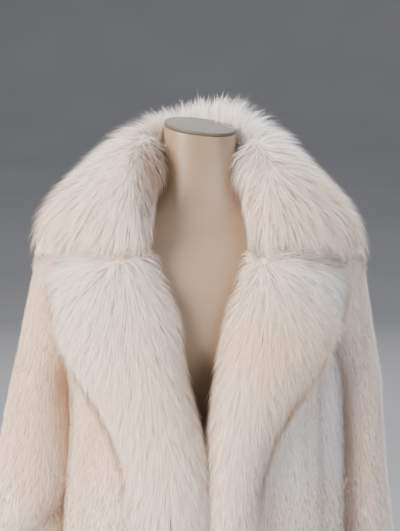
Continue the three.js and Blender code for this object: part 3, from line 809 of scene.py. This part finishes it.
def lapel_flow(node):
    """Out from the whorl at the gorge, then down, and a little outward to both edges."""
    source = np.array(WHORLS[node])

    def flow(points, normals):
        away = points - source
        far = np.linalg.norm(away, axis=1)
        inner = smoothstep(abs(source[0]) - np.abs(points[:, 0]), -0.005, 0.025)
        fall = 0.05 + 0.7 * smoothstep(far, 0.02, 0.10) + 2.4 * smoothstep(far, 0.08, 0.24) + 1.8 * inner
        middle = np.interp(points[:, 2], LAPEL_HEIGHTS, LAPEL_MIDDLES[node])
        across = np.clip((points[:, 0] - middle) / 0.06, -1, 1)
        toward_middle = across * source[0] < 0
        splay = across * np.where(toward_middle, 1.7, 1.2) * smoothstep(far, 0.05, 0.2)
        return unit(away) + np.column_stack([splay, np.zeros(len(points)), -fall])

    return flow


def crest_boost(points):
    """The hair stands up highest along the collar's crest behind the neck, in uneven tufts."""
    x, y, z = points.T
    crest = smoothstep(z, 1.44, 1.475) * smoothstep(y, -0.02, 0.05)
    tufts = 0.5 + 0.5 * np.sin(190 * x + 1.3) * np.sin(71 * x + 0.4)
    higher = 0.4 * tufts + smoothstep(x, -0.01, 0.02) * (0.35 + 0.4 * tufts)
    outer = smoothstep(np.abs(x), 0.12, 0.2)
    return 1 + crest * (higher - 0.45) + 0.15 * outer


def along_parting(points):
    """The collar's hair is denser in front below its parting, where it leans to both sides."""
    in_front = smoothstep(-points[:, 1], 0.0, 0.05)
    return 1 + 1.5 * in_front * np.exp(-((np.abs(points[:, 0]) - 0.088) / 0.02) ** 2)


def toward_gorge(points):
    """The collar's hair gets shorter toward the lapels' rounded tops, and ends just over them."""
    in_front = smoothstep(-points[:, 1], 0.0, 0.05)
    over_tops = smoothstep(np.abs(points[:, 0]), 0.11, 0.15)
    near = in_front * (1 - smoothstep(above_gorge(points), 0.0, 0.06))
    return 1 + near * (0.35 - 0.85 * over_tops)


def more_in_view(points):
    """The hair is denser where the photograph's frame shows it."""
    return 0.5 + 0.8 * smoothstep(points[:, 2], 0.93, 1.0)


def everywhere(points):
    return np.ones(len(points))


# Hair: a lock's length, how far its tip lifts, how much its course wanders, its levels from root to tip and
# how closely it keeps to the skin at each; then the strands in a lock, the lock's radius, how far it gathers
# to its tip, and each strand's stray, least length, width and roll.
LONG_HAIR = {
    "length": 0.048, "lift": 1.05, "wander": 0.10, "levels": 3, "grip": (0.6, 0.25),
    "per_lock": 4, "radius": 0.005, "clump": 0.25,
    "stray": 0.0022, "shortest": 0.65, "width": 0.0011, "roll": 0.5,
    "boost": everywhere, "shorten": everywhere,
}
SHORT_HAIR = {
    "length": 0.018, "lift": 0.9, "wander": 0.05, "levels": 2, "grip": (0.5,),
    "per_lock": 5, "radius": 0.005, "clump": 0.2,
    "stray": 0.0009, "shortest": 0.6, "width": 0.0014, "roll": 0.4,
    "boost": everywhere, "shorten": everywhere,
}


# Scene

def aim(item, target):
    """Turns a lamp or camera toward a place."""
    item.rotation_euler = (Vector(target) - item.location).to_track_quat("-Z", "Y").to_euler()


def area_light(name, light):
    data = bpy.data.lights.new(name, "AREA")
    data.shape = "DISK"
    data.size = light["size"]
    data.energy = light["watts"]
    data.color = light["colour"]
    lamp = bpy.data.objects.new(name, data)
    lamp.location = light["at"]
    aim(lamp, LIGHTS_MIDDLE)
    bpy.context.scene.collection.objects.link(lamp)


def make_lights():
    for name, light in LIGHTS.items():
        area_light(name, light)
    world = bpy.data.worlds.new("studio")
    world.use_nodes = True
    background = world.node_tree.nodes["Background"]
    background.inputs["Color"].default_value = (*SKY["colour"], 1)
    background.inputs["Strength"].default_value = SKY["strength"]
    bpy.context.scene.world = world


def make_floor():
    """A wide round floor that curves up into a low wall far away, so that no horizon shows."""
    flat, bend, steps, sides = FLOOR.values()
    profile = [(3.0, 0.0)]
    for step in range(steps + 1):
        angle = math.pi / 2 * step / steps
        profile.append((flat + bend * math.sin(angle), bend * (1 - math.cos(angle))))
    turns = [2 * math.pi * k / sides for k in range(sides)]
    points = [(r * math.cos(a), r * math.sin(a), z) for r, z in profile for a in turns]
    faces = [tuple(range(sides))]
    for ring in range(len(profile) - 1):
        for k in range(sides):
            here, after = ring * sides + k, ring * sides + (k + 1) % sides
            faces.append((here, here + sides, after + sides, after))
    mesh = bpy.data.meshes.new("floor")
    mesh.from_pydata(points, [], faces)
    mesh.polygons.foreach_set("use_smooth", [True] * len(mesh.polygons))
    mesh.materials.append(floor_material())
    floor = bpy.data.objects.new("floor", mesh)
    bpy.context.scene.collection.objects.link(floor)


def make_camera():
    data = bpy.data.cameras.new("camera")
    data.sensor_width = SENSOR
    data.lens = FOCAL_PIXELS / IMAGE_HEIGHT * SENSOR
    camera = bpy.data.objects.new("camera", data)
    target, elevation = Vector(CAMERA["target"]), math.radians(CAMERA["elevation"])
    camera.location = target + CAMERA["distance"] * Vector((0, -math.cos(elevation), math.sin(elevation)))
    aim(camera, target)
    bpy.context.scene.collection.objects.link(camera)
    bpy.context.scene.camera = camera


def make_pelts(hair, underfur_and_shade):
    share = 1.0
    for seed, (node, sizes) in enumerate(PELTS.items()):
        piece = smooth_copy(node, node + "_pelt", SHORT_VOXEL, 8)
        skin = make_skin(node, piece, pelt_sink, sizes["faces"])
        piece.data.materials.append(underfur_and_shade)
        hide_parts(node)
        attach(piece, "root")
        spec = {**SHORT_HAIR, "seed": 11 + seed}
        spec["flow"] = sleeve_flow(node) if node in SLEEVE_MIDDLES else down_flow
        spec["weight"] = everywhere if node == "coat_back" else more_in_view
        grow_hair(node, skin, int(sizes["strands"] * share), spec, hair)


def make_trims(hair, underfur_and_shade):
    share = 1.0
    for seed, (node, sizes) in enumerate(TRIMS.items()):
        piece = smooth_copy(node, node + "_pelt", LONG_VOXEL, 10)
        skin = make_skin(node, piece, trim_sink, sizes["faces"])
        piece.data.materials.append(underfur_and_shade)
        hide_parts(node)
        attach(piece, "root")
        spec = {**LONG_HAIR, "seed": 31 + seed}
        if node == "collar":
            spec |= {"flow": collar_flow, "weight": along_parting, "boost": crest_boost,
                     "shorten": toward_gorge}
        else:
            spec |= {"flow": lapel_flow(node), "weight": more_in_view}
        grow_hair(node, skin, int(sizes["strands"] * share), spec, hair)


def between(rows, places):
    """Rows on a smooth curve through the table's rows, at places counted in rows."""
    last = len(rows) - 1
    i = np.clip(places.astype(int), 0, last - 1)
    t = (places - i)[:, None]
    before, here, after, beyond = (rows[np.clip(i + k, 0, last)] for k in (-1, 0, 1, 2))
    slope_here = np.where(i[:, None] > 0, (after - before) / 2, after - here)
    slope_after = np.where(i[:, None] + 2 <= last, (beyond - here) / 2, after - here)
    return ((2 * t**3 - 3 * t**2 + 1) * here + (t**3 - 2 * t**2 + t) * slope_here
            + (3 * t**2 - 2 * t**3) * after + (t**3 - t**2) * slope_after)


def oval(side, front, back, z, scale=1.0):
    """One level ring of the form, a little squarer than an ellipse."""
    angle = np.linspace(0, 2 * math.pi, FORM_SIDES, endpoint=False)
    s, c = np.sin(angle), np.cos(angle)
    depth = np.where(c > 0, front, back)
    x = side * np.sign(s) * np.abs(s) ** FORM_POWER
    y = -depth * np.sign(c) * np.abs(c) ** FORM_POWER
    return np.column_stack([x * scale, y * scale, np.full(FORM_SIDES, z)])


def cut_at(ring, z):
    """The ring raised or lowered to the neck's sloping cut at height z."""
    ring = ring.copy()
    ring[:, 2] = z + ring[:, 0] * CUT_SLOPE["sideways"] + ring[:, 1] * CUT_SLOPE["forward"]
    return ring


def ring_mesh(name, rings):
    """A closed surface through level rings, from the lowest up."""
    sides = len(rings[0])
    points = np.concatenate([*rings, rings[0].mean(0)[None], rings[-1].mean(0)[None]])
    bottom, top, high = len(points) - 2, len(points) - 1, (len(rings) - 1) * sides
    faces = []
    for k in range(sides):
        after = (k + 1) % sides
        faces.append((bottom, after, k))
        faces += [(r + k, r + after, r + sides + after, r + sides + k) for r in range(0, high, sides)]
        faces.append((top, high + k, high + after))
    mesh = bpy.data.meshes.new(name)
    mesh.from_pydata(points.tolist(), [], faces)
    mesh.polygons.foreach_set("use_smooth", [True] * len(mesh.polygons))
    return mesh


def make_torso():
    rows = between(FORM_ROWS, np.linspace(0, len(FORM_ROWS) - 1, FORM_RINGS))
    rings = [oval(side, front, back, z) for z, side, front, back in rows]
    first, neck = rows[0], rows[-1]
    rings.insert(0, oval(*first[1:], first[0] + 0.0005, 0.985))
    for below, scale in ((0.002, 1.0), (0.001, 0.998), (0.0004, 0.990), (0.0003, 0.975)):
        rings.append(cut_at(oval(*neck[1:], 0, scale), CUT_HEIGHT - CAP_HEIGHT - below))
    return ring_mesh("form_shell", rings)


def make_cap():
    neck = FORM_ROWS[-1]
    steps = [(0.0, 0.960), (0.0006, 0.992), (0.0036, 0.992), (0.0046, 0.984), (0.005, 0.968)]
    rings = [cut_at(oval(*neck[1:], 0, scale), CUT_HEIGHT - CAP_HEIGHT + up) for up, scale in steps]
    return ring_mesh("neck_cap", rings)


def dress_form():
    for node, mesh, slot, material in (
        ("form_torso", make_torso(), "form_shell", form_material()),
        ("form_neck_cap", make_cap(), "form_cap", cap_material()),
    ):
        mesh.materials.append(material)
        piece = new_piece(mesh.name, mesh)
        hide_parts(node)
        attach(piece, "root")
    steel = steel_material()
    for node in ("form_pole", "form_base"):
        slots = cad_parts[node].data.materials
        slots.clear()
        slots.append(steel)


make_camera()
make_floor()
make_lights()
dress_form()
make_trims(hair_material("long_hair", LONG_FUR), underfur_and_shade_material("long_underfur_and_shade", LONG_UNDERFUR_AND_SHADE))
make_pelts(hair_material("short_hair", SHORT_FUR), underfur_and_shade_material("short_underfur_and_shade", SHORT_UNDERFUR_AND_SHADE))
